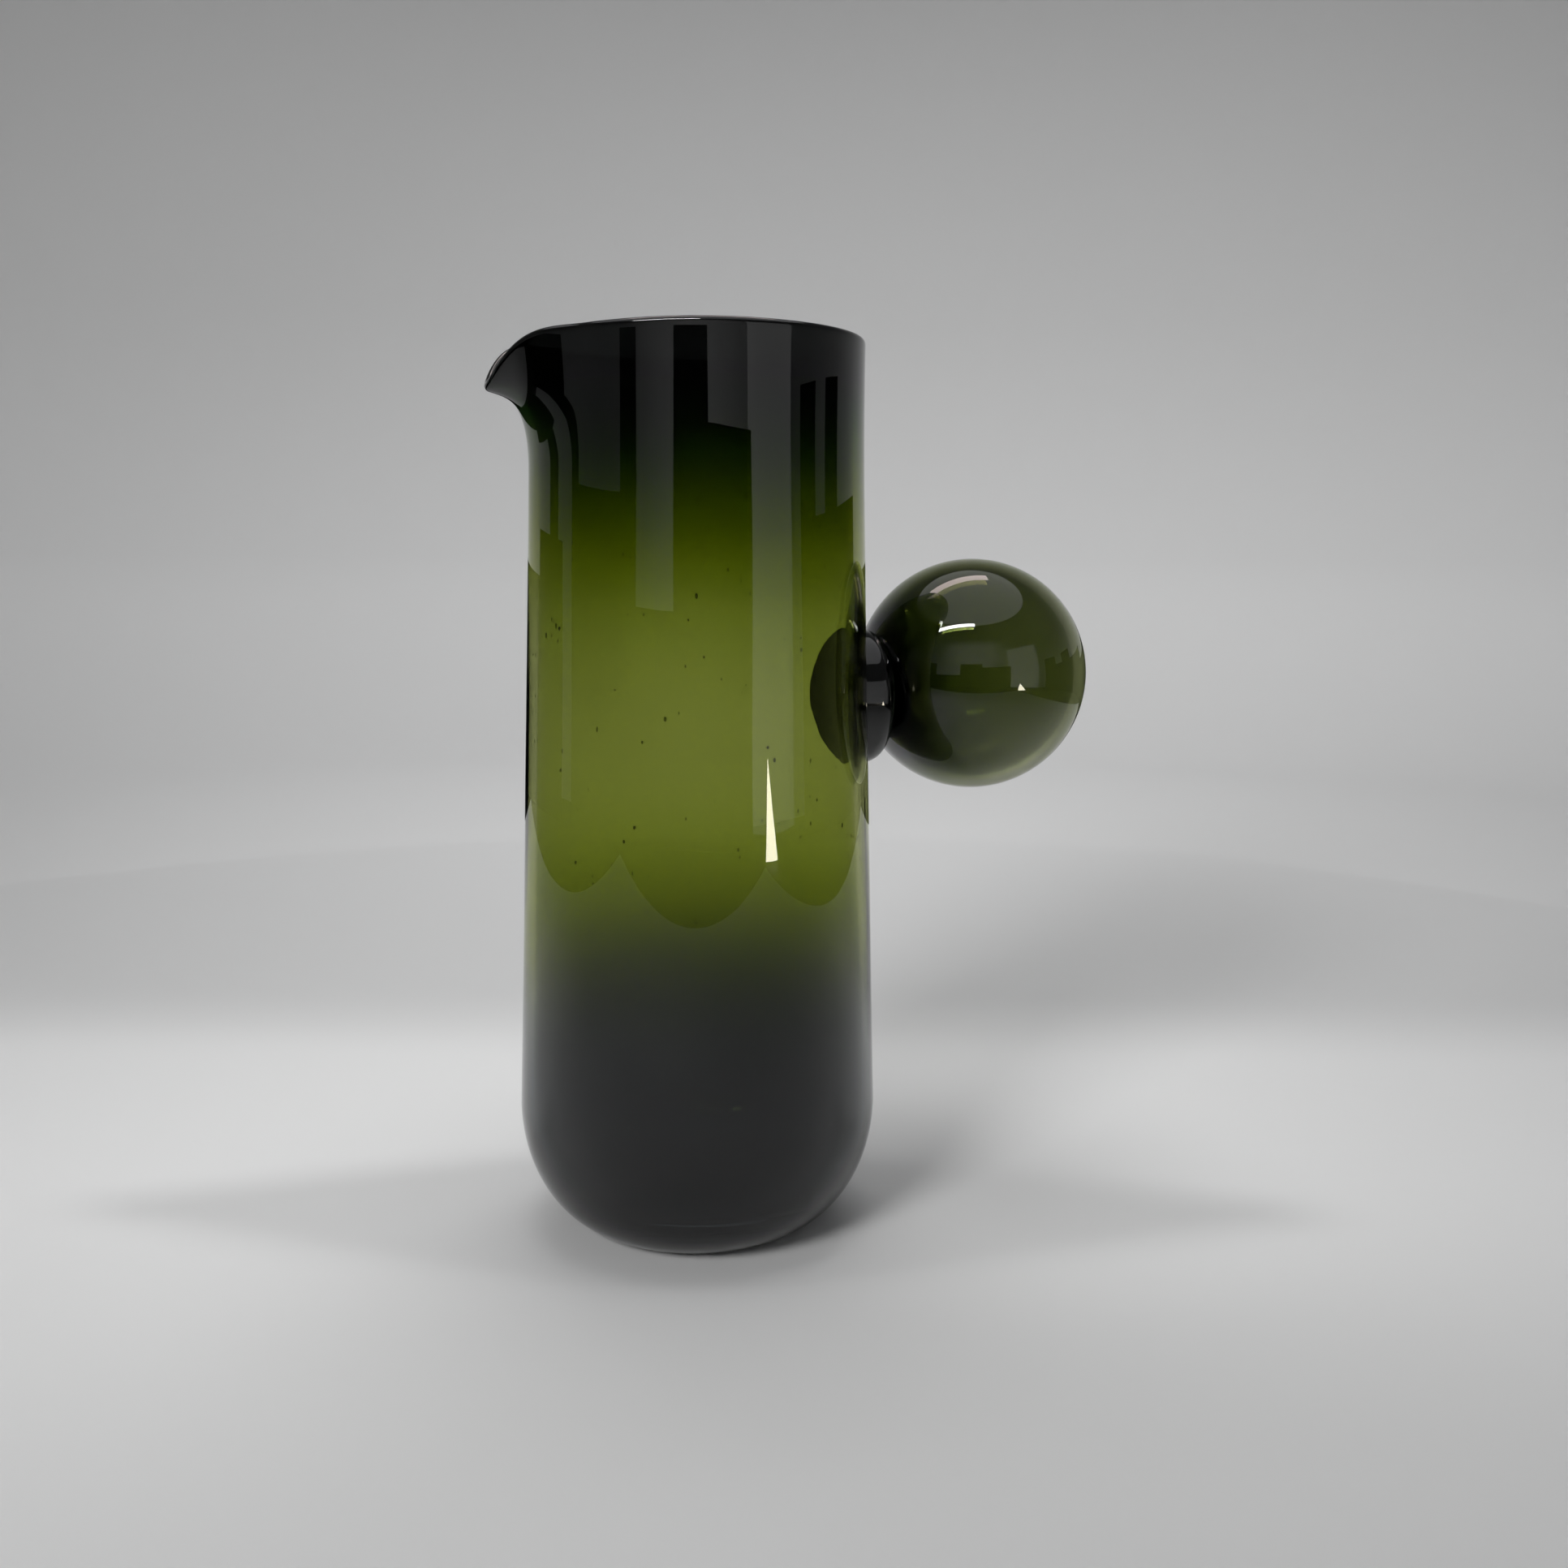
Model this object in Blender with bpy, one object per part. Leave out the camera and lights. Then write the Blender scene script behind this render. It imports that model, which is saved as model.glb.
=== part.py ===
"""Tall hand-blown glass pitcher with a hollow ball for a handle.

The vessel is blown in one piece, with a rounded base, a ground flat to stand on and a pouring
lip drawn out of the rim. The ball is a second bubble. It is held by a disc-shaped collar, a bit
of hot glass pressed between the ball and the wall, whose boss fills the neck of the ball.

Metres, +Z up. The origin is the centre of the ground flat. The ball points to +X and the
pouring lip to -X.
"""

import math

import bmesh
import bpy
from mathutils import Vector

# Vessel. Radii and heights are to the outside of the glass.
BODY_HEIGHT = 0.260
RIM_RADIUS = 0.0472  # before the rim's flare
BASE_RADIUS = 0.0532  # where the rounded base meets the wall
TAPER_POWER = 1.18  # 1 is a straight taper, more keeps the taper low down
BASE_CORNER_WIDTH = 0.0270
BASE_CORNER_HEIGHT = 0.0378
RIM_FLARE = 0.0005  # how far the rim turns out
RIM_FLARE_DEPTH = 0.045
WALL = 0.0032
FLOOR = 0.0080

# Pouring lip
LIP_DEPTH = 0.0358  # below the rim, where the wall starts to lean out
LIP_REACH = 0.0125  # from the wall to the tip
LIP_DROP = 0.0124  # from the rim down to the tip
LIP_LIFT = math.radians(20.0)  # how steeply the channel rises at the tip
LIP_BEND_START = 0.0169  # length of the upright pull of the bend
LIP_BEND_END = 0.0074  # length of the outward pull of the bend
LIP_HALF_ANGLE = math.radians(36.0)  # round the rim, from the tip to where it ends
LIP_DROP_POWER = 2.9  # how much narrower the drop is than the reach
RIM_DIP = 0.0013  # how far the rest of the rim sinks towards the lip

# Handle
HANDLE_HEIGHT = 0.1576  # collar centre on the wall
HANDLE_TILT = math.radians(9.0)  # upwards from level
BALL_RADIUS = 0.0354
BALL_WALL = 0.0035
NECK_RADIUS = 0.0050  # opening in the ball, facing the wall
BALL_STANDOFF = 0.0034  # glass between wall and ball, on the handle's axis
COLLAR_RADIUS = 0.0205
COLLAR_THICKNESS = 0.0056  # out from the wall, at the collar's centre
COLLAR_EDGE_RADIUS = 0.0030  # the outer edge is melted round
BOSS_REACH = 0.0185  # from the ball's outside to the end of the boss

FIT_GAP = 0.0003  # between pieces that are fused on the real pitcher

# Fineness of the meshes
BODY_SEGMENTS = 64
BALL_SEGMENTS = 44
COLLAR_SEGMENTS = 48
CORNER_STEPS = 7
WALL_STEPS = 7
LIP_STEPS = 8
RIM_EDGE_STEPS = 4
COLLAR_EDGE_STEPS = 8
BALL_STEPS = 18

EDGE_RADIUS = WALL / 2  # the rim is melted round
CUTTER_MARGIN = 0.010  # how far a blank or a cutter runs past what it shapes
BOSS_MARGIN = 0.0025  # the same for the boss, which has less room


def wall_radius(height):
    """Outside radius of the vessel's wall at a height above the rounded base."""
    below_rim = max(BODY_HEIGHT - height, 0.0)
    taper = (below_rim / (BODY_HEIGHT - BASE_CORNER_HEIGHT)) ** TAPER_POWER
    flare = max(1.0 - below_rim / RIM_FLARE_DEPTH, 0.0) ** 2
    return RIM_RADIUS + (BASE_RADIUS - RIM_RADIUS) * taper + RIM_FLARE * flare


def arc(centre, width, height, start, end, steps):
    """Points of an elliptical arc as (radius, height), angles in degrees from +radius."""
    points = []
    for step in range(steps + 1):
        angle = math.radians(start + (end - start) * step / steps)
        points.append((centre[0] + width * math.cos(angle), centre[1] + height * math.sin(angle)))
    return points


def spaced(start, end, steps):
    """Evenly spaced values after start, up to and including end."""
    return [start + (end - start) * step / steps for step in range(1, steps + 1)]


def turned_mesh(name, profile, segments):
    """Mesh of a profile of (radius, height) points turned once about +Z."""
    shape = bmesh.new()
    points = [shape.verts.new((radius, 0.0, height)) for radius, height in profile]
    edges = [shape.edges.new(pair) for pair in zip(points, points[1:])]
    bmesh.ops.spin(
        shape,
        geom=points + edges,
        axis=(0.0, 0.0, 1.0),
        cent=(0.0, 0.0, 0.0),
        angle=math.tau,
        steps=segments,
        use_merge=True,
    )
    bmesh.ops.remove_doubles(shape, verts=shape.verts, dist=1e-6)
    bmesh.ops.recalc_face_normals(shape, faces=shape.faces)
    mesh = bpy.data.meshes.new(name)
    shape.to_mesh(mesh)
    shape.free()
    return mesh


def glass(name, colour):
    """A glass finish with its own tint."""
    material = bpy.data.materials.new(name)
    material.use_nodes = True
    shader = material.node_tree.nodes["Principled BSDF"]
    shader.inputs["Base Color"].default_value = (*colour, 1.0)
    shader.inputs["Metallic"].default_value = 0.0
    shader.inputs["Roughness"].default_value = 0.02
    shader.inputs["IOR"].default_value = 1.52
    shader.inputs["Transmission Weight"].default_value = 1.0
    return material


def add_object(name, mesh, material=None):
    """Link a mesh as an object, shaded smooth apart from its real edges."""
    item = bpy.data.objects.new(name, mesh)
    bpy.context.scene.collection.objects.link(item)
    if material:
        mesh.materials.append(material)
    mesh.shade_smooth()
    mesh.set_sharp_from_angle(angle=math.radians(40.0))
    return item


def add_cutter(name, mesh):
    """Link a mesh that only shapes another piece."""
    cutter = add_object(name, mesh)
    cutter.hide_render = True
    cutter.display_type = "WIRE"
    return cutter


def shape_with(item, other, operation):
    """Join another solid to a piece, or take it out of the piece."""
    modifier = item.modifiers.new(other.name, "BOOLEAN")
    modifier.operation = operation
    modifier.object = other


# Vessel


def vessel_profile():
    """Outside of the vessel from the ground flat to the rim, then the inside down to the floor."""
    edge_height = BODY_HEIGHT - EDGE_RADIUS
    lip_start = BODY_HEIGHT - LIP_DEPTH
    corner = (BASE_RADIUS - BASE_CORNER_WIDTH, BASE_CORNER_HEIGHT)
    wall_heights = spaced(BASE_CORNER_HEIGHT, lip_start, WALL_STEPS)
    wall_heights += spaced(lip_start, edge_height, LIP_STEPS)
    outside = arc(corner, BASE_CORNER_WIDTH, BASE_CORNER_HEIGHT, -90, 0, CORNER_STEPS)
    outside += [(wall_radius(height), height) for height in wall_heights]
    inner_width = BASE_CORNER_WIDTH - WALL
    inner_height = BASE_CORNER_HEIGHT - FLOOR
    inside = arc(corner, inner_width, inner_height, -90, 0, CORNER_STEPS)
    inside += [(wall_radius(height) - WALL, height) for height in wall_heights]
    edge_centre = (wall_radius(edge_height) - EDGE_RADIUS, edge_height)
    edge = arc(edge_centre, EDGE_RADIUS, EDGE_RADIUS, 0, 180, RIM_EDGE_STEPS)[1:-1]
    return [(0.0, 0.0)] + outside + edge + inside[::-1] + [(0.0, FLOOR)]


def lip_path(share):
    """Middle of the glass along the pouring lip, as (radius, height): a cubic curve from the wall."""
    start_height = BODY_HEIGHT - LIP_DEPTH
    start = Vector((wall_radius(start_height) - WALL / 2, start_height))
    tip_radius = wall_radius(BODY_HEIGHT) + LIP_REACH - EDGE_RADIUS
    tip = Vector((tip_radius, BODY_HEIGHT - EDGE_RADIUS - LIP_DROP))
    upright = start + Vector((0.0, LIP_BEND_START))
    outward = tip - LIP_BEND_END * Vector((math.cos(LIP_LIFT), math.sin(LIP_LIFT)))
    rest = 1.0 - share
    return (
        rest**3 * start
        + 3 * rest**2 * share * upright
        + 3 * rest * share**2 * outward
        + share**3 * tip
    )


def glass_middle(azimuth, height):
    """Middle of the wall's glass, with the pouring lip drawn out. Azimuth 0 is the lip's tip."""
    radius = wall_radius(height) - WALL / 2
    place = Vector((-radius * math.cos(azimuth), -radius * math.sin(azimuth), height))
    share = 1.0 - (BODY_HEIGHT - EDGE_RADIUS - height) / (LIP_DEPTH - EDGE_RADIUS)
    if share <= 0.0:
        return place
    place.z -= RIM_DIP * share**2 * (0.5 + 0.5 * math.cos(azimuth)) ** 3
    if abs(azimuth) >= LIP_HALF_ANGLE:
        return place
    weight = 0.5 + 0.5 * math.cos(math.pi * azimuth / LIP_HALF_ANGLE)
    drawn_radius, drawn_height = lip_path(share)
    place.x -= weight * (drawn_radius - radius)
    place.z += weight**LIP_DROP_POWER * (drawn_height - height)
    return place


def draw_out_lip(mesh):
    """Move the vessel's upper points onto the drawn rim, keeping the glass as thick as it was."""
    step = 1e-4
    edge_height = BODY_HEIGHT - EDGE_RADIUS
    for vertex in mesh.vertices:
        plain = vertex.co
        height = min(plain.z, edge_height)
        azimuth = math.atan2(-plain.y, -plain.x)
        if height <= BODY_HEIGHT - LIP_DEPTH:
            continue
        across = math.hypot(plain.x, plain.y) - (wall_radius(height) - WALL / 2)
        beyond = plain.z - height
        middle = glass_middle(azimuth, height)
        upward = (middle - glass_middle(azimuth, height - step)).normalized()
        around = glass_middle(azimuth + step, height) - glass_middle(azimuth - step, height)
        outward = around.cross(upward).normalized()
        vertex.co = middle + across * outward + beyond * upward


def make_vessel():
    mesh = turned_mesh("vessel_body", vessel_profile(), BODY_SEGMENTS)
    draw_out_lip(mesh)
    return add_object("vessel_body", mesh, glass("olive_glass", (0.16, 0.21, 0.05)))


# Handle. Two empties stand on the wall, with +Z out of it: one square to the wall for the
# collar, and one tilted along the handle's axis for the ball and the boss in its neck.


def make_frame(name, tilt):
    frame = bpy.data.objects.new(name, None)
    frame.location = (wall_radius(HANDLE_HEIGHT), 0.0, HANDLE_HEIGHT)
    frame.rotation_euler = (0.0, math.pi / 2 - tilt, 0.0)
    bpy.context.scene.collection.objects.link(frame)
    return frame


def make_ball(frame):
    """Blown ball about its own centre, with its neck opening towards the wall."""
    inner_radius = BALL_RADIUS - BALL_WALL
    outer_neck = math.degrees(math.asin(NECK_RADIUS / BALL_RADIUS))
    inner_neck = math.degrees(math.asin(NECK_RADIUS / inner_radius))
    outside = arc((0.0, 0.0), BALL_RADIUS, BALL_RADIUS, -90 + outer_neck, 90, BALL_STEPS)
    inside = arc((0.0, 0.0), inner_radius, inner_radius, -90 + inner_neck, 90, BALL_STEPS)
    mesh = turned_mesh("ball_handle", outside[::-1] + inside, BALL_SEGMENTS)
    ball = add_object("ball_handle", mesh, glass("green_smoke_glass", (0.10, 0.13, 0.07)))
    ball.parent = frame
    ball.location = (0.0, 0.0, BALL_STANDOFF + BALL_RADIUS)
    return ball


def wall_clearance_profile():
    """The vessel's wall behind the collar, grown by the gap."""
    reach = COLLAR_RADIUS + CUTTER_MARGIN
    low = HANDLE_HEIGHT - reach
    heights = [low] + spaced(low, HANDLE_HEIGHT + reach, WALL_STEPS)
    sides = [(wall_radius(height) + FIT_GAP, height) for height in heights]
    return [(0.0, sides[0][1])] + sides + [(0.0, sides[-1][1])]


def ball_clearance_profile():
    """The ball grown by the gap, about its centre, less the boss that fills its neck."""
    grown = BALL_RADIUS + FIT_GAP
    boss_radius = NECK_RADIUS - FIT_GAP
    boss_centre = (0.0, BOSS_REACH - BALL_RADIUS - boss_radius)
    boss = arc(boss_centre, boss_radius, boss_radius, 90, 0, COLLAR_EDGE_STEPS)
    neck = math.degrees(math.asin(boss_radius / grown))
    outside = arc((0.0, 0.0), grown, grown, -90 + neck, 0, BALL_STEPS)
    return [(0.0, boss[0][1])] + boss[1:] + outside + [(0.0, CUTTER_MARGIN)]


def collar_profile():
    """Uncut disc of the collar, square to the wall, with its outer edge melted round."""
    corner = (COLLAR_RADIUS - COLLAR_EDGE_RADIUS, COLLAR_THICKNESS - COLLAR_EDGE_RADIUS)
    edge = arc(corner, COLLAR_EDGE_RADIUS, COLLAR_EDGE_RADIUS, 0, 90, COLLAR_EDGE_STEPS)
    depth = -CUTTER_MARGIN
    return [(0.0, depth), (COLLAR_RADIUS, depth)] + edge + [(0.0, COLLAR_THICKNESS)]


def boss_profile():
    """Uncut boss, a rod along the handle's axis from inside the disc to past the boss's end."""
    radius = NECK_RADIUS + BOSS_MARGIN
    start = BALL_STANDOFF / 2
    end = BALL_STANDOFF + BOSS_REACH + BOSS_MARGIN
    return [(0.0, start), (radius, start), (radius, end), (0.0, end)]


def make_collar(square_frame, tilted_frame):
    mesh = turned_mesh("joint_collar", collar_profile(), COLLAR_SEGMENTS)
    collar = add_object("joint_collar", mesh, glass("dark_green_glass", (0.02, 0.03, 0.02)))
    collar.parent = square_frame
    boss = add_cutter("uncut_boss", turned_mesh("uncut_boss", boss_profile(), COLLAR_SEGMENTS))
    boss.parent = tilted_frame
    wall_mesh = turned_mesh("wall_clearance", wall_clearance_profile(), BODY_SEGMENTS)
    wall_clearance = add_cutter("wall_clearance", wall_mesh)
    ball_mesh = turned_mesh("ball_clearance", ball_clearance_profile(), BALL_SEGMENTS)
    ball_clearance = add_cutter("ball_clearance", ball_mesh)
    ball_clearance.parent = tilted_frame
    ball_clearance.location = (0.0, 0.0, BALL_STANDOFF + BALL_RADIUS)
    shape_with(collar, boss, "UNION")
    shape_with(collar, wall_clearance, "DIFFERENCE")
    shape_with(collar, ball_clearance, "DIFFERENCE")
    return collar


def main():
    for item in list(bpy.data.objects):
        bpy.data.objects.remove(item, do_unlink=True)
    make_vessel()
    tilted_frame = make_frame("ball_frame", HANDLE_TILT)
    make_ball(tilted_frame)
    make_collar(make_frame("collar_frame", 0.0), tilted_frame)
    bpy.context.view_layer.update()


main()
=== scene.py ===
import math
import random

import bmesh
import bpy
from mathutils import Matrix, Vector, noise


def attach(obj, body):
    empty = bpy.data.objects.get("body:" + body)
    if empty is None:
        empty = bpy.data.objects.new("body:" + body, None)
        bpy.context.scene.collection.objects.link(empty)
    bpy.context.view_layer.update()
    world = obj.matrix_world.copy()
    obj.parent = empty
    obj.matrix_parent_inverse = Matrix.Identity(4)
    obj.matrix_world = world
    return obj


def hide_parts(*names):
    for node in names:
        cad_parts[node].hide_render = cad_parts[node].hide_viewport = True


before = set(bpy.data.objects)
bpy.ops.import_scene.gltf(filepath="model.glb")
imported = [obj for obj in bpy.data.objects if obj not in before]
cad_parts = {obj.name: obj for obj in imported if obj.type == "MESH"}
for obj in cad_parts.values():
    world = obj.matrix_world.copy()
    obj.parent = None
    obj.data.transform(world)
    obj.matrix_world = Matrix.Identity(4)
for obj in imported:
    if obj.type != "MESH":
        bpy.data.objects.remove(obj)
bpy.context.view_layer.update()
scene = bpy.context.scene
mm = 0.001
print("frame loaded:", ", ".join(sorted(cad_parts)))


def hexColour(code):
    # sRGB hex to the linear values that the shaders take
    parts = [int(code[start : start + 2], 16) / 255 for start in (1, 3, 5)]
    linear = [v / 12.92 if v <= 0.04045 else ((v + 0.055) / 1.055) ** 2.4 for v in parts]
    return (*linear, 1.0)


def addNode(material, kind, settings=None, inputs=None, links=None):
    # one node: plain properties, socket values, then sockets fed by other nodes' outputs
    node = material.node_tree.nodes.new(kind)
    for name, value in (settings or {}).items():
        setattr(node, name, value)
    for name, value in (inputs or {}).items():
        node.inputs[name].default_value = value
    for name, source in (links or {}).items():
        material.node_tree.links.new(source, node.inputs[name])
    return node


def newMaterial(name):
    material = bpy.data.materials.new(name)
    material.use_nodes = True
    shader = material.node_tree.nodes["Principled BSDF"]
    return material, shader


def addPiece(name, shape, material, slot=None, replaces=None):
    # bmesh to a smooth-shaded object at the origin
    mesh = bpy.data.meshes.new(name)
    shape.to_mesh(mesh)
    shape.free()
    mesh.materials.append(material)
    mesh.shade_smooth()
    piece = bpy.data.objects.new(name, mesh)
    scene.collection.objects.link(piece)
    if slot:
        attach(piece, "root")
    if replaces:
        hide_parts(replaces)
    return piece


def arcPoints(centre, width, height, start, end, steps):
    # elliptical arc as (radius, height), angles in degrees from +radius
    turns = [math.radians(start + (end - start) * step / steps) for step in range(steps + 1)]
    return [(centre[0] + width * math.cos(a), centre[1] + height * math.sin(a)) for a in turns]


def spacedValues(start, end, steps):
    return [start + (end - start) * step / steps for step in range(1, steps + 1)]


def spinShape(profile, segments):
    # (radius, height) points spun once about +Z, poles and seam closed, faces out
    shape = bmesh.new()
    points = [shape.verts.new((radius, 0, height)) for radius, height in profile]
    edges = [shape.edges.new(pair) for pair in zip(points, points[1:])]
    bmesh.ops.spin(
        shape,
        geom=points + edges,
        axis=(0, 0, 1),
        cent=(0, 0, 0),
        angle=math.tau,
        steps=segments,
        use_merge=True,
    )
    bmesh.ops.remove_doubles(shape, verts=shape.verts, dist=1e-7)
    bmesh.ops.recalc_face_normals(shape, faces=shape.faces)
    return shape


# the vessel: one blown bubble, opened at the top, with its lip drawn out
vessel = {
    "height": 260 * mm,
    "rimRadius": 47.2 * mm,
    "baseRadius": 53.2 * mm,
    "taperPower": 1.18,
    "cornerWidth": 27.0 * mm,
    "cornerHeight": 37.8 * mm,
    "flare": 0.5 * mm,
    "flareDepth": 45 * mm,
    "wall": 3.2 * mm,
    "floor": 8.0 * mm,
    "lipDepth": 35.8 * mm,
    "lipReach": 12.5 * mm,
    "lipDrop": 12.4 * mm,
    "lipLift": math.radians(20),
    "lipBendStart": 16.9 * mm,
    "lipBendEnd": 7.4 * mm,
    "lipHalfAngle": math.radians(36),
    "lipDropPower": 2.9,
    "rimDip": 1.3 * mm,
    "pontilRadius": 6.5 * mm,  # polished hollow where the iron was cracked off
    "pontilDepth": 0.7 * mm,
    "waveOutside": 0.16 * mm,  # how uneven the blown wall is
    "waveInside": 0.30 * mm,
    "waveLength": 31 * mm,
    "waveSquash": 0.45,  # under 1 draws the waves out upwards
    "waveStart": 2 * mm,  # none on the ground flat, full by waveRise above it
    "waveRise": 20 * mm,
    "seeds": 240,
    "seedsFrom": 30 * mm,
    "seedsTo": 222 * mm,
    "seedSmallest": 0.22 * mm,
    "seedLargest": 0.50 * mm,
    "seedStretch": 2.4,
    "seedDepth": 0.6 * mm,  # how far they stray from the middle of the wall
    "segments": 224,
    "cornerSteps": 26,
    "wallSteps": 44,
    "lipSteps": 34,
    "edgeSteps": 12,
    "floorSteps": 9,
}
edgeRadius = vessel["wall"] / 2  # the rim is melted round


def wallRadius(height):
    v = vessel
    belowRim = max(v["height"] - height, 0)
    taper = (belowRim / (v["height"] - v["cornerHeight"])) ** v["taperPower"]
    flare = max(1 - belowRim / v["flareDepth"], 0) ** 2
    return v["rimRadius"] + (v["baseRadius"] - v["rimRadius"]) * taper + v["flare"] * flare


def vesselProfile():
    # ground flat, outside, rim and inside, from the pole underneath to the pole of the floor
    v = vessel
    edgeHeight = v["height"] - edgeRadius
    lipStart = v["height"] - v["lipDepth"]
    corner = (v["baseRadius"] - v["cornerWidth"], v["cornerHeight"])
    heights = spacedValues(v["cornerHeight"], lipStart, v["wallSteps"])
    heights += spacedValues(lipStart, edgeHeight, v["lipSteps"])
    hollow = [
        (v["pontilRadius"] * s, v["pontilDepth"] * (1 - s * s) ** 2)
        for s in [step / v["floorSteps"] for step in range(v["floorSteps"] + 1)]
    ]
    outside = arcPoints(corner, v["cornerWidth"], v["cornerHeight"], -90, 0, v["cornerSteps"])
    outside += [(wallRadius(height), height) for height in heights]
    innerWidth = v["cornerWidth"] - v["wall"]
    innerHeight = v["cornerHeight"] - v["floor"]
    inside = arcPoints(corner, innerWidth, innerHeight, -90, 0, v["cornerSteps"])
    inside += [(wallRadius(height) - v["wall"], height) for height in heights]
    floor = [(corner[0] * step / v["floorSteps"], v["floor"]) for step in range(v["floorSteps"])]
    edgeCentre = (wallRadius(edgeHeight) - edgeRadius, edgeHeight)
    edge = arcPoints(edgeCentre, edgeRadius, edgeRadius, 0, 180, v["edgeSteps"])[1:-1]
    return hollow + outside + edge + inside[::-1] + floor[::-1]


def lipPath(share):
    # middle of the glass along the lip: a cubic curve out of the wall
    v = vessel
    startHeight = v["height"] - v["lipDepth"]
    start = Vector((wallRadius(startHeight) - v["wall"] / 2, startHeight))
    tipRadius = wallRadius(v["height"]) + v["lipReach"] - edgeRadius
    tip = Vector((tipRadius, v["height"] - edgeRadius - v["lipDrop"]))
    upright = start + Vector((0, v["lipBendStart"]))
    outward = tip - v["lipBendEnd"] * Vector((math.cos(v["lipLift"]), math.sin(v["lipLift"])))
    rest = 1 - share
    path = rest**3 * start + 3 * rest**2 * share * upright
    return path + 3 * rest * share**2 * outward + share**3 * tip


def glassMiddle(azimuth, height):
    # middle of the wall's glass; azimuth 0 is the lip's tip, at -X
    v = vessel
    radius = wallRadius(height) - v["wall"] / 2
    place = Vector((-radius * math.cos(azimuth), -radius * math.sin(azimuth), height))
    share = 1 - (v["height"] - edgeRadius - height) / (v["lipDepth"] - edgeRadius)
    if share <= 0:
        return place
    place.z -= v["rimDip"] * share**2 * (0.5 + 0.5 * math.cos(azimuth)) ** 3
    if abs(azimuth) >= v["lipHalfAngle"]:
        return place
    weight = 0.5 + 0.5 * math.cos(math.pi * azimuth / v["lipHalfAngle"])
    drawnRadius, drawnHeight = lipPath(share)
    place.x -= weight * (drawnRadius - radius)
    place.z += weight ** v["lipDropPower"] * (drawnHeight - height)
    return place


def drawOutLip(shape):
    # carry the upper rings onto the drawn rim, the glass as thick as it was
    v = vessel
    step = 0.1 * mm
    edgeHeight = v["height"] - edgeRadius
    for vert in shape.verts:
        height = min(vert.co.z, edgeHeight)
        if height <= v["height"] - v["lipDepth"]:
            continue
        azimuth = math.atan2(-vert.co.y, -vert.co.x)
        across = math.hypot(vert.co.x, vert.co.y) - (wallRadius(height) - v["wall"] / 2)
        beyond = vert.co.z - height
        middle = glassMiddle(azimuth, height)
        upward = (middle - glassMiddle(azimuth, height - step)).normalized()
        around = glassMiddle(azimuth + step, height) - glassMiddle(azimuth - step, height)
        outward = around.cross(upward).normalized()
        vert.co = middle + across * outward + beyond * upward


def waveWall(shape):
    # long shallow waves left by the blowing, none on the ground flat
    v = vessel
    shape.normal_update()
    moves = {}
    for vert in shape.verts:
        spot = vert.co / v["waveLength"]
        spot.z *= v["waveSquash"]
        rise = min(max((vert.co.z - v["waveStart"]) / v["waveRise"], 0), 1)
        inner = vert.normal.xy.dot(vert.co.xy) < 0
        depth = v["waveInside"] if inner else v["waveOutside"]
        swell = noise.noise(spot + Vector((3.1, 7.7, 1.9 * inner)))  # inside and outside differ
        moves[vert] = vert.normal * swell * depth * rise
    for vert, move in moves.items():
        vert.co += move


def bandedColour(material, shader, place, bands):
    # colour that changes along a distance: bands give the colour at each mm, eased between
    first, last = min(bands), max(bands)
    share = addNode(
        material,
        "ShaderNodeMapRange",
        inputs={"From Min": first * mm, "From Max": last * mm},
        links={"Value": place},
    )
    ramp = addNode(material, "ShaderNodeValToRGB", links={"Fac": share.outputs["Result"]})
    ramp.color_ramp.interpolation = "CARDINAL"
    elements = ramp.color_ramp.elements
    while len(elements) < len(bands):
        elements.new(0.5)
    for element, (height, code) in zip(elements, sorted(bands.items())):
        element.position = (height - first) / (last - first)
        element.color = hexColour(code)
    material.node_tree.links.new(ramp.outputs["Color"], shader.inputs["Base Color"])


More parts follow.
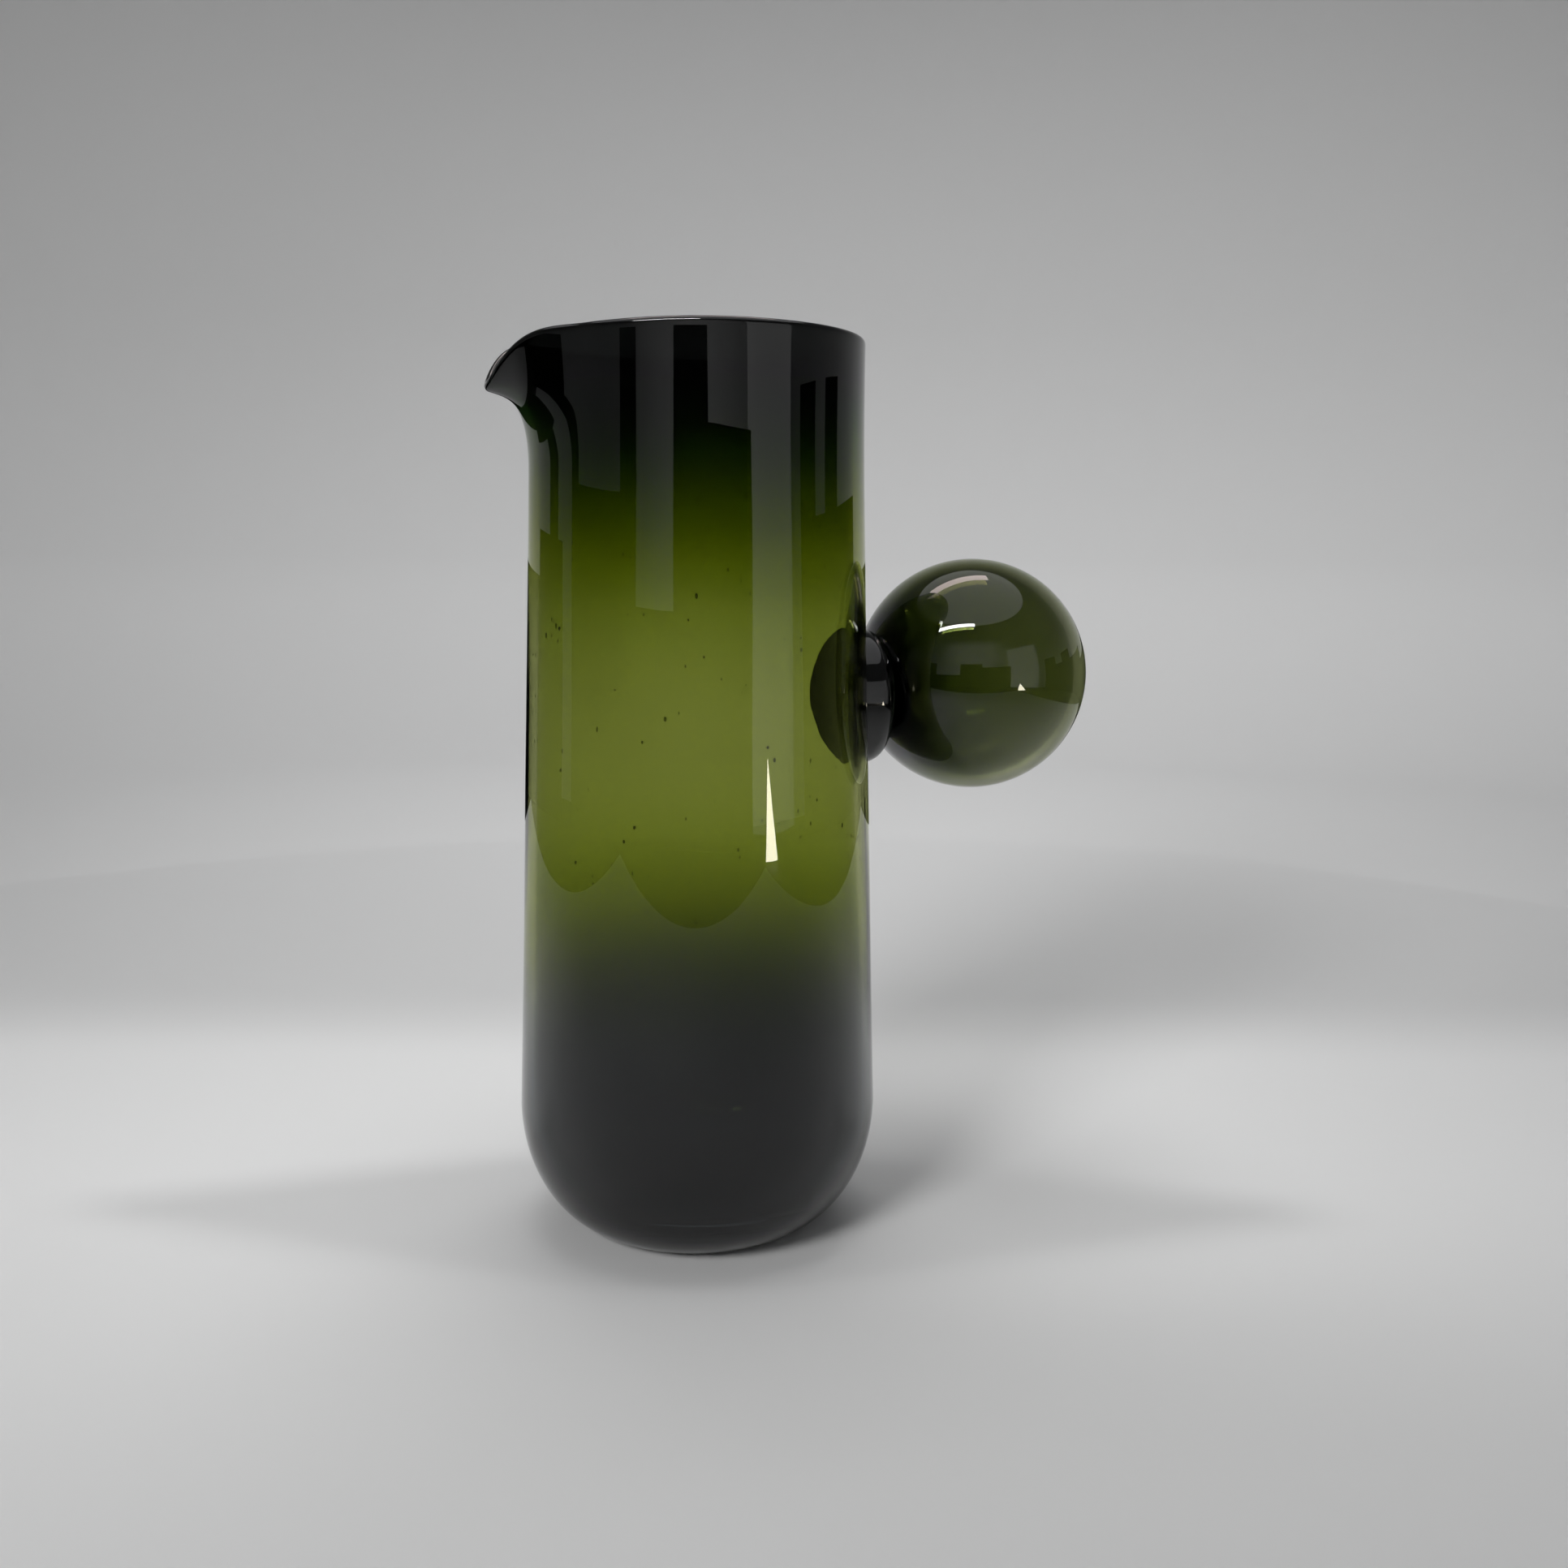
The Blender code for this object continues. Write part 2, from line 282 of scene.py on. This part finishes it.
def oliveGlassPaintedShadeEnds():
    # soda-lime glass, mouth-blown and fire-polished: clear olive in the middle, with painted shade at
    # both ends for the dark room seen through the top and the vessel's own shadow seen through the
    # foot, so it goes from nearly black to green and back with no hard edge
    material, shader = newMaterial("oliveSodaGlassPaintedShadeEnds")
    tint = {
        # the near-black bands at both ends are painted shade; the olive between is the glass's own
        # colour
        "bands": {
            50: "#31383A",
            71: "#666C58",
            85: "#8B9356",
            102: "#A5AF5B",
            128: "#BBC37B",
            160: "#BBC37B",
            187: "#A7B15E",
            204: "#879327",
            221: "#5B6B10",
            234: "#2C440E",
            246: "#0C0E0D",
        },
        "wander": 5 * mm,  # how far the bands stray up and down round the vessel
        "wanderLength": 55 * mm,
        "cordWidth": 5 * mm,  # faint upright cords in the glass
    }
    coords = addNode(material, "ShaderNodeTexCoord")
    axes = addNode(material, "ShaderNodeSeparateXYZ", links={"Vector": coords.outputs["Object"]})
    stray = addNode(
        material,
        "ShaderNodeTexNoise",
        inputs={"Scale": 1 / tint["wanderLength"], "Detail": 1.0},
        links={"Vector": coords.outputs["Object"]},
    )
    shift = addNode(
        material,
        "ShaderNodeMapRange",
        inputs={"To Min": -tint["wander"], "To Max": tint["wander"]},
        links={"Value": stray.outputs["Fac"]},
    )
    level = addNode(
        material,
        "ShaderNodeMath",
        {"operation": "ADD"},
        links={0: axes.outputs["Z"], 1: shift.outputs["Result"]},
    )
    bandedColour(material, shader, level.outputs["Value"], tint["bands"])
    stretch = addNode(
        material,
        "ShaderNodeMapping",
        inputs={"Scale": (1, 1, 0.05)},
        links={"Vector": coords.outputs["Object"]},
    )
    cords = addNode(
        material,
        "ShaderNodeTexNoise",
        inputs={"Scale": 1 / tint["cordWidth"], "Detail": 2.0},
        links={"Vector": stretch.outputs["Vector"]},
    )
    relief = addNode(
        material,
        "ShaderNodeBump",
        inputs={"Strength": 0.25, "Distance": 0.05 * mm},
        links={"Height": cords.outputs["Fac"]},
    )
    material.node_tree.links.new(relief.outputs["Normal"], shader.inputs["Normal"])
    finishGlass(shader)
    return material


def addSeeds(shape, spots, sizes):
    # seeds: the tiny bubbles that hand-made glass keeps, as hollows in it, drawn out in the blowing
    seeds = bmesh.new()
    for spot in spots:
        radius = random.uniform(sizes["seedSmallest"], sizes["seedLargest"]) * random.uniform(0.5, 1)
        size = Matrix.Diagonal((radius, radius, radius * random.uniform(1, sizes["seedStretch"]), 1))
        place = Matrix.Translation(spot) @ size
        bmesh.ops.create_uvsphere(seeds, u_segments=8, v_segments=6, radius=1, matrix=place)
    bmesh.ops.reverse_faces(seeds, faces=seeds.faces)
    mesh = bpy.data.meshes.new("seeds")
    seeds.to_mesh(mesh)
    seeds.free()
    shape.from_mesh(mesh)
    bpy.data.meshes.remove(mesh)


def finishGlass(shader):
    # what every piece of this glass shares: clear soda-lime, glossy from the flame
    shader.inputs["Roughness"].default_value = 0.0
    shader.inputs["IOR"].default_value = 1.52
    shader.inputs["Transmission Weight"].default_value = 1.0


def wallSpots():
    # places in the middle of the wall, more of them towards the rim
    v = vessel
    spots = []
    for _ in range(v["seeds"]):
        height = v["seedsFrom"] + (v["seedsTo"] - v["seedsFrom"]) * random.random() ** 0.6
        azimuth = random.uniform(-math.pi, math.pi)
        radius = wallRadius(height) - v["wall"] / 2 + random.uniform(-1, 1) * v["seedDepth"]
        spots.append(Vector((radius * math.cos(azimuth), radius * math.sin(azimuth), height)))
    return spots


random.seed(7)
vesselShape = spinShape(vesselProfile(), vessel["segments"])
drawOutLip(vesselShape)
waveWall(vesselShape)
addSeeds(vesselShape, wallSpots(), vessel)
vesselPiece = addPiece(
    "blown_vessel", vesselShape, oliveGlassPaintedShadeEnds(), "vessel_glass", "vessel_body"
)
print("vessel:", len(vesselPiece.data.polygons), "faces")


# the handle: a hollow ball on a pressed collar
handle = {
    "height": 157.6 * mm,
    "tilt": math.radians(9),
    "ballRadius": 35.4 * mm,
    "ballWall": 3.5 * mm,
    "neckRadius": 5.0 * mm,
    "standoff": 3.4 * mm,
    "collarRadius": 20.5 * mm,
    "collarThickness": 5.6 * mm,
    "collarEdge": 3.0 * mm,
    "collarBulge": 5.2 * mm,  # the melted edge runs over nearly the whole thickness
    "bossReach": 18.5 * mm,
    "sunk": 0.4 * mm,  # the pieces are fused, so the collar runs into the wall and the ball
    "ballSegments": 160,
    "ballSteps": 90,
    "collarSegments": 144,
    "collarEdgeSteps": 20,
    "wallRoomSteps": 24,
    "wallRoomSegments": 512,
    "margin": 10 * mm,
    "bossMargin": 2.5 * mm,
    "seeds": 120,
    "seedSmallest": 0.20 * mm,
    "seedLargest": 0.45 * mm,
    "seedStretch": 1.3,
}
wallPoint = Vector((wallRadius(handle["height"]), 0, handle["height"]))


def onWall(tilt, out=0.0):
    # a place on the wall with +Z out of it, tilted up from level by that angle
    turn = Matrix.Rotation(math.pi / 2 - tilt, 4, "Y")
    return Matrix.Translation(wallPoint) @ turn @ Matrix.Translation((0, 0, out))


ballPlace = onWall(handle["tilt"], handle["standoff"] + handle["ballRadius"])


def ballShape():
    h = handle
    inner = h["ballRadius"] - h["ballWall"]
    outerNeck = math.degrees(math.asin(h["neckRadius"] / h["ballRadius"]))
    innerNeck = math.degrees(math.asin(h["neckRadius"] / inner))
    outside = arcPoints((0, 0), h["ballRadius"], h["ballRadius"], -90 + outerNeck, 90, h["ballSteps"])
    inside = arcPoints((0, 0), inner, inner, -90 + innerNeck, 90, h["ballSteps"])
    shape = spinShape(outside[::-1] + inside, h["ballSegments"])
    bmesh.ops.transform(shape, matrix=ballPlace, verts=shape.verts)
    return shape


def collarDisc():
    h = handle
    corner = (h["collarRadius"] - h["collarEdge"], h["collarThickness"] - h["collarBulge"])
    edge = arcPoints(corner, h["collarEdge"], h["collarBulge"], 0, 90, h["collarEdgeSteps"])
    back = [(0, -h["margin"]), (h["collarRadius"], -h["margin"])]
    profile = back + edge + [(0, h["collarThickness"])]
    shape = spinShape(profile, h["collarSegments"])
    bmesh.ops.transform(shape, matrix=onWall(0), verts=shape.verts)
    return shape


def bossRod():
    h = handle
    radius = h["neckRadius"] + h["bossMargin"]
    start, end = h["standoff"] / 2, h["standoff"] + h["bossReach"] + h["bossMargin"]
    shape = spinShape([(0, start), (radius, start), (radius, end), (0, end)], h["collarSegments"])
    bmesh.ops.transform(shape, matrix=onWall(h["tilt"]), verts=shape.verts)
    return shape


def wallRoom():
    h = handle
    reach = h["collarRadius"] + h["margin"]
    low = h["height"] - reach
    heights = [low] + spacedValues(low, h["height"] + reach, h["wallRoomSteps"])
    sides = [(wallRadius(height) - h["sunk"], height) for height in heights]
    return spinShape([(0, sides[0][1])] + sides + [(0, sides[-1][1])], h["wallRoomSegments"])


def ballRoom():
    # the ball less its fused skin, with the boss left standing in its neck
    h = handle
    grown = h["ballRadius"] - h["sunk"]
    bossRadius = h["neckRadius"] + h["sunk"]
    bossCentre = (0, h["bossReach"] - h["ballRadius"] - bossRadius)
    boss = arcPoints(bossCentre, bossRadius, bossRadius, 90, 0, h["collarEdgeSteps"])
    neck = math.degrees(math.asin(bossRadius / grown))
    outside = arcPoints((0, 0), grown, grown, -90 + neck, 0, h["ballSteps"])
    profile = [(0, boss[0][1])] + boss[1:] + outside + [(0, h["margin"])]
    shape = spinShape(profile, h["ballSegments"])
    bmesh.ops.transform(shape, matrix=ballPlace, verts=shape.verts)
    return shape


def cutCollar(material):
    # disc and boss joined, then cleared for the wall and the ball
    collar = addPiece("pressed_collar", collarDisc(), material, "collar_glass", "joint_collar")
    tools = []
    cuts = [(bossRod(), "UNION"), (wallRoom(), "DIFFERENCE"), (ballRoom(), "DIFFERENCE")]
    for shape, operation in cuts:
        mesh = bpy.data.meshes.new("cutter")
        shape.to_mesh(mesh)
        shape.free()
        tool = bpy.data.objects.new("cutter", mesh)
        scene.collection.objects.link(tool)
        tools.append(tool)
        cut = collar.modifiers.new(operation, "BOOLEAN")
        cut.operation = operation
        cut.object = tool
    depsgraph = bpy.context.evaluated_depsgraph_get()
    shaped = bpy.data.meshes.new_from_object(collar.evaluated_get(depsgraph))
    collar.modifiers.clear()
    collar.data = shaped
    shaped.shade_smooth()
    shaped.set_sharp_from_angle(angle=math.radians(35))
    for tool in tools:
        bpy.data.objects.remove(tool, do_unlink=True)
    return collar


def greenSmokeGlassShadedNeck():
    # the same glass blown thinner in colour: grey-green, and black at the neck, partly for the
    # thicker glass there and partly painted shade where the ball meets the dark collar
    material, shader = newMaterial("greenSmokeSodaGlassPaintedNeckShade")
    # the darkening towards the neck is partly painted shade
    bands = {6: "#070906", 12: "#191F0F", 20: "#545E2C", 34: "#7C844E", 70: "#858C5E"}
    coords = addNode(material, "ShaderNodeTexCoord")
    fromWall = addNode(
        material,
        "ShaderNodeVectorMath",
        {"operation": "SUBTRACT"},
        links={0: coords.outputs["Object"]},
    )
    fromWall.inputs[1].default_value = wallPoint
    along = addNode(
        material,
        "ShaderNodeVectorMath",
        {"operation": "DOT_PRODUCT"},
        links={0: fromWall.outputs["Vector"]},
    )
    along.inputs[1].default_value = ballPlace.col[2].xyz
    bandedColour(material, shader, along.outputs["Value"], bands)
    finishGlass(shader)
    return material


def darkGreenGlass():
    # a gather of overlaid dark glass, pressed hot: solid, so it reads black with a green depth
    material, shader = newMaterial("darkGreenSodaGlass")
    coords = addNode(material, "ShaderNodeTexCoord")
    clouds = addNode(
        material,
        "ShaderNodeTexNoise",
        inputs={"Scale": 1 / (9 * mm), "Detail": 2.0},
        links={"Vector": coords.outputs["Object"]},
    )
    ramp = addNode(material, "ShaderNodeValToRGB", links={"Fac": clouds.outputs["Fac"]})
    ramp.color_ramp.elements[0].color = hexColour("#080B08")
    ramp.color_ramp.elements[1].color = hexColour("#141B11")
    material.node_tree.links.new(ramp.outputs["Color"], shader.inputs["Base Color"])
    finishGlass(shader)
    shader.inputs["Specular IOR Level"].default_value = 0.3
    shader.inputs["Roughness"].default_value = 0.06
    return material


def ballSpots():
    spots = []
    while len(spots) < handle["seeds"]:
        way = Vector((random.gauss(0, 1), random.gauss(0, 1), random.gauss(0, 1))).normalized()
        if way.z > -0.7:  # the neck is solid colour
            spots.append(ballPlace @ (way * (handle["ballRadius"] - handle["ballWall"] / 2)))
    return spots


blownBall = ballShape()
addSeeds(blownBall, ballSpots(), handle)
ballPiece = addPiece("hollow_ball", blownBall, greenSmokeGlassShadedNeck(), "ball_glass", "ball_handle")
collarPiece = cutCollar(darkGreenGlass())
handleFaces = [len(piece.data.polygons) for piece in (ballPiece, collarPiece)]
print("handle: ball {} and collar {} faces".format(*handleFaces))


# the studio: pale sweep, soft boxes, flags and the camera
studio = {
    "turn": math.radians(-19),  # the ball points away from the camera by this much
    "camera": Vector((25.45, -450, 198.3)) * mm,  # before the turn
    "tilt": 0.1448,
    "roll": 0.0064,
    "lens": 35.29,
    "floorRadius": 1.1,
    "coveRadius": 0.5,
    "wallHeight": 2.2,
    "world": hexColour("#9A9C9E"),
    "worldPower": 0.42,
    "shadeReach": 2,  # the long shades run this far to each side
    "flagRadius": 0.95,
    "darkFloorHeight": 1 * mm,
    "ceilingHalf": 2.4,
    "ceilingHeight": 2.3,
}
sideShade = {"near": 0.01, "far": 0.19, "front": -0.056, "back": 0.060, "height": 0.05}
glint = {"bearing": 50, "width": 8, "low": 0.002, "high": 0.085, "radius": 0.86}


def turned(x, y, z):
    # a place in front of the camera's own axes, to the row's frame
    return Matrix.Rotation(studio["turn"], 3, "Z") @ Vector((x, y, z))


def addCamera():
    data = bpy.data.cameras.new("camera")
    data.lens = studio["lens"]
    data.sensor_width = 36
    data.clip_start = 0.01
    camera = bpy.data.objects.new("camera", data)
    scene.collection.objects.link(camera)
    look = turned(0, math.cos(studio["tilt"]), -math.sin(studio["tilt"]))
    aim = look.to_track_quat("-Z", "Y").to_matrix().to_4x4()
    spot = Matrix.Translation(turned(*studio["camera"]))
    camera.matrix_world = spot @ aim @ Matrix.Rotation(studio["roll"], 4, "Z")
    scene.camera = camera


def paperMaterial():
    # matt paper, greyer up the wall as painted shade, so the light seems to fall off behind
    material, shader = newMaterial("paleStudioPaper")
    coords = addNode(material, "ShaderNodeTexCoord")
    axes = addNode(material, "ShaderNodeSeparateXYZ", links={"Vector": coords.outputs["Object"]})
    # painted shade: the paper darkens with height
    bands = {0: "#E4E4E4", 200: "#E0E0E0", 900: "#B4B4B4"}
    bandedColour(material, shader, axes.outputs["Z"], bands)
    shader.inputs["Roughness"].default_value = 0.9
    shader.inputs["Specular IOR Level"].default_value = 0.0
    return material


def addSweep():
    s = studio
    centre = (s["floorRadius"], s["coveRadius"])
    cove = arcPoints(centre, s["coveRadius"], s["coveRadius"], -90, 0, 32)
    profile = [(0, 0)] + cove + [(s["floorRadius"] + s["coveRadius"], s["wallHeight"])]
    shape = spinShape(profile, 128)
    bmesh.ops.reverse_faces(shape, faces=shape.faces)
    sweep = addPiece("paper_sweep", shape, paperMaterial())


objectPieces = bpy.data.collections.new("objectPieces")
for piece in (vesselPiece, ballPiece, collarPiece):
    objectPieces.objects.link(piece)


def addLamp(name, place, aim, size, power, colour):
    data = bpy.data.lights.new(name, "AREA")
    data.shape = "RECTANGLE"
    data.size, data.size_y = size
    data.energy = power
    data.color = hexColour(colour)[:3]
    lamp = bpy.data.objects.new(name, data)
    scene.collection.objects.link(lamp)
    lamp.location = turned(*place)
    lamp.rotation_euler = (turned(*aim) - lamp.location).to_track_quat("-Z", "Y").to_euler()
    lamp.visible_camera = False
    return lamp


def addSoftBox(name, place, aim, size, power, spread=180, shaded=False):
    # lights the paper and is itself kept out of the gloss
    lamp = addLamp(name, place, aim, size, power, "#FFFFFF")
    lamp.data.spread = math.radians(spread)
    lamp.visible_glossy = False
    lamp.visible_transmission = False
    if not shaded:
        lamp.light_linking.blocker_collection = objectPieces  # the shades leave this lamp alone


def addGlossLamp(name, place, aim, size, power, colour="#FFFFFF", roll=0.0):
    # seen in the gloss of the glass and lights nothing else
    lamp = addLamp(name, place, aim, size, power, colour)
    lamp.rotation_euler.rotate_axis("Z", roll)
    lamp.visible_diffuse = False


def cardMaterial(name, code, glow=0.0):
    material, shader = newMaterial(name)
    shader.inputs["Base Color"].default_value = hexColour(code)
    shader.inputs["Roughness"].default_value = 1.0
    if glow:
        shader.inputs["Emission Color"].default_value = hexColour(code)
        shader.inputs["Emission Strength"].default_value = glow
    return material


def reflectionOnly(card):
    # cards and flags show in the gloss of the glass and nowhere else
    card.visible_camera = False
    card.visible_diffuse = False
    card.visible_transmission = False
    card.visible_volume_scatter = False
    card.visible_shadow = False


def shadeBoard(name, corners):
    # board that only takes the overhead lamp's light off the floor, to shape the pale pool
    shape = bmesh.new()
    shape.faces.new([shape.verts.new(turned(*corner)) for corner in corners])
    board = addPiece(name, shape, cardMaterial(name + "Board", "#050505"))
    for sight in ("camera", "diffuse", "glossy", "transmission", "volume_scatter"):
        setattr(board, "visible_" + sight, False)


def addShade(name, low, high, height):
    # long board across the set, from low to high in depth
    reach = studio["shadeReach"]
    sides = [(-reach, low), (reach, low), (reach, high), (-reach, high)]
    shadeBoard(name, [(*side, height) for side in sides])


def addSideShade(name, side):
    # wedge beside the foot, narrowing away from it
    s = sideShade
    near, far = side * s["near"], side * s["far"]
    outline = [(near, s["front"]), (far, 0), (near, s["back"])]
    shadeBoard(name, [(*spot, s["height"]) for spot in outline])


def addFlag(name, azimuth, width, low, high, material):
    # upright card at a bearing from the camera's side, + to its right, bent round the object
    radius = studio["flagRadius"]
    shape = bmesh.new()
    steps = max(2, round(width / 4))
    bottom = []
    for step in range(steps + 1):
        a = math.radians(azimuth - width / 2 + width * step / steps)
        bottom.append(shape.verts.new(turned(radius * math.sin(a), -radius * math.cos(a), low)))
    edges = [shape.edges.new(pair) for pair in zip(bottom, bottom[1:])]
    made = bmesh.ops.extrude_edge_only(shape, edges=edges)["geom"]
    raised = [item for item in made if isinstance(item, bmesh.types.BMVert)]
    bmesh.ops.translate(shape, vec=(0, 0, high - low), verts=raised)
    card = addPiece(name, shape, material)
    reflectionOnly(card)


def addDarkFloor(material):
    # what lies past the edges of the pale table top, seen only in the gloss
    shape = bmesh.new()
    inner = [(-640, -600), (600, -590), (600, 700), (-640, 700)]
    height = studio["darkFloorHeight"]
    hole = [shape.verts.new(turned(x * mm, y * mm, height)) for x, y in inner]
    edges = [shape.edges.new((hole[i], hole[(i + 1) % 4])) for i in range(4)]
    made = bmesh.ops.extrude_edge_only(shape, edges=edges)["geom"]
    outer = [item for item in made if isinstance(item, bmesh.types.BMVert)]
    bmesh.ops.scale(shape, vec=(3, 3, 1), verts=outer)
    card = addPiece("dark_floor_flag", shape, material)
    reflectionOnly(card)


addCamera()
addSweep()
world = bpy.data.worlds.new("studio")
scene.world = world
world.use_nodes = True
world.node_tree.nodes["Background"].inputs["Color"].default_value = studio["world"]
world.node_tree.nodes["Background"].inputs["Strength"].default_value = studio["worldPower"]
scene.view_settings.view_transform = "Standard"

# each lamp: place, aim and size in metres from the middle of the foot, seen from the camera
softBoxes = {
    "overheadSoftBox": dict(
        place=(0, 0, 1.0), aim=(0, 0, 0), size=(0.5, 0.5), power=1.15, spread=100, shaded=True
    ),
    "keySoftBox": dict(
        place=(-0.45, -0.82, 0.60), aim=(0.15, 0.40, 0.10), size=(0.3, 0.3), power=1.2, spread=70
    ),
    "backgroundSoftBox": dict(
        place=(0, 0.75, 1.1), aim=(0, 1.2, 0.1), size=(1.2, 0.4), power=6.4
    ),
    "frontSoftBox": dict(
        place=(0, -1.0, 1.2), aim=(0, -1.6, 0.5), size=(1.2, 0.4), power=4.8, spread=130
    ),
}
for name, settings in softBoxes.items():
    addSoftBox(name, **settings)

glossLamps = {
    "ceilingPanel": dict(
        place=(-0.03, 0.34, 1.05), aim=(0.05, 0, 0.16), size=(0.62, 0.13), power=1.3, colour="#F6E2DE"
    ),
    "stripLamp": dict(
        place=(-0.24, -0.57, 0.95), aim=(0.05, 0, 0.16), size=(0.62, 0.055), power=4.6, roll=0.3
    ),
    "rightWindow": dict(
        place=(0.78, -0.62, 0.30), aim=(0, 0, 0.15), size=(0.55, 0.62), power=0.5
    ),
}
for name, settings in glossLamps.items():
    addGlossLamp(name, **settings)

blackCard = cardMaterial("blackVelvetFlag", "#050505")
addDarkFloor(blackCard)
flags = [
    # bearing, width, low, high
    (-62, 36, 0, 0.287),
    (-42, 11, 0, 0.386),
    (-24, 34, 0, 0.205),
    (-1, 22, 0, 0.388),
    (24, 28, 0, 0.33),
    (81, 13, 0, 0.355),
    (103, 13, 0, 0.355),
    (-105, 10, 0, 0.355),
    (-83, 6, 0, 0.35),
    (-110, 30, 0, 0.24),
    (104, 56, 0, 0.27),
    (140, 60, 0, 0.2),
    (-150, 70, 0, 0.2),
]
for index, (bearing, width, low, high) in enumerate(flags):
    addFlag(f"black_flag_{index}", bearing, width, low, high, blackCard)
addShade("rear_shade", 0.165, 2.5, 0.15)
addShade("front_shade", -1.4, -0.062, 0.3)
addSideShade("left_shade", -1)
addSideShade("right_shade", 1)


def addCeiling():
    # pale ceiling above the sweep, glowing to stand in for a lit ceiling, seen only in the gloss
    half, height = studio["ceilingHalf"], studio["ceilingHeight"]
    shape = bmesh.new()
    corners = [(-half, -half), (-half, half), (half, half), (half, -half)]
    shape.faces.new([shape.verts.new((x, y, height)) for x, y in corners])
    reflectionOnly(addPiece("ceiling_card", shape, cardMaterial("paleCeiling", "#E8E8EA", 0.8)))


def addGlint(name, material):
    # small bright wedge of light low down, widest at its foot
    shape = bmesh.new()
    radius = glint["radius"]
    middle, half = math.radians(glint["bearing"]), math.radians(glint["width"] / 2)
    corners = [
        (middle - half, glint["low"]),
        (middle + half, glint["low"]),
        (middle - half * 0.6, glint["high"]),
    ]
    places = [turned(radius * math.sin(a), -radius * math.cos(a), z) for a, z in corners]
    shape.faces.new([shape.verts.new(place) for place in places])
    card = addPiece(name, shape, material)
    reflectionOnly(card)


addCeiling()
addGlint("glint_card", cardMaterial("litWhiteCard", "#FFF6DE", 20.0))
print("studio set")
